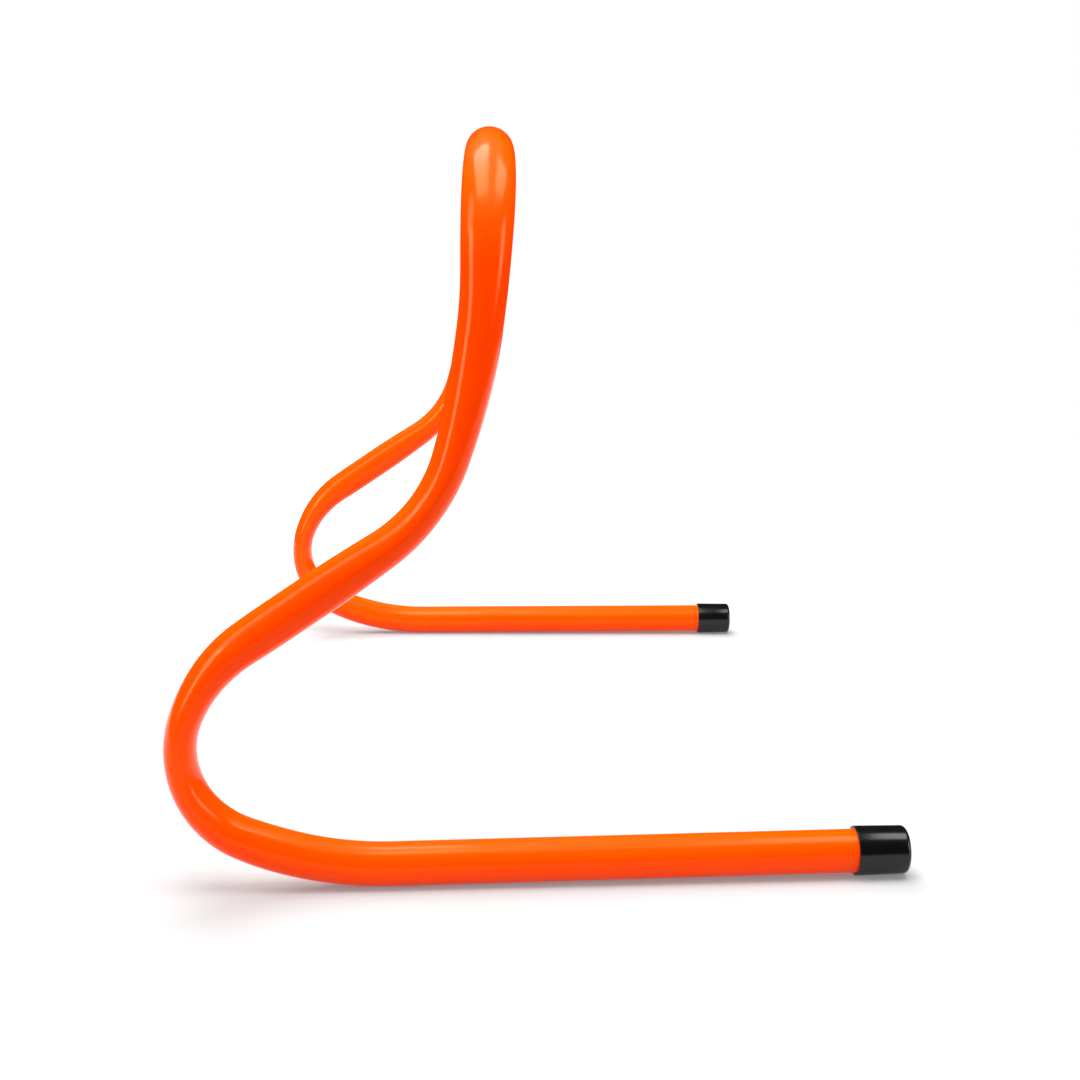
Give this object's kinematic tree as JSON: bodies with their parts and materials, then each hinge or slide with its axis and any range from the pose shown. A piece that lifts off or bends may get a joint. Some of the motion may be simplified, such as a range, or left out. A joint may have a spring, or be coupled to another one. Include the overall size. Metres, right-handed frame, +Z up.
{
  "type": "speed hurdle",
  "caption": "Low training hurdle bent from round plastic tube: a straight crossbar on curved legs that turn back into feet on the floor, closed by push-on end caps.",
  "frame": {"origin": "middle of the footprint on the floor the hurdle stands on", "axes": "+X along the crossbar, the feet point to -Y, +Z up"},
  "size_m": [0.4784, 0.3032, 0.3052],
  "materials": {
    "orange_pvc": "extruded tube, glossy, bright orange all through",
    "black_vinyl": "moulded soft vinyl, satin, black"
  },
  "bodies": {
    "tube": {"bent_tube": "orange_pvc"},
    "left_cap": {"left_end_cap": "black_vinyl"},
    "right_cap": {"right_end_cap": "black_vinyl"}
  },
  "joints": [
    {"name": "left_cap_pull", "type": "slide", "parent": "tube", "child": "left_cap", "axis": [0.027, -0.9996, 0.0065], "range_m": [0, 0.026]},
    {"name": "right_cap_pull", "type": "slide", "parent": "tube", "child": "right_cap", "axis": [-0.027, -0.9996, 0.0065], "range_m": [0, 0.026]}
  ]
}
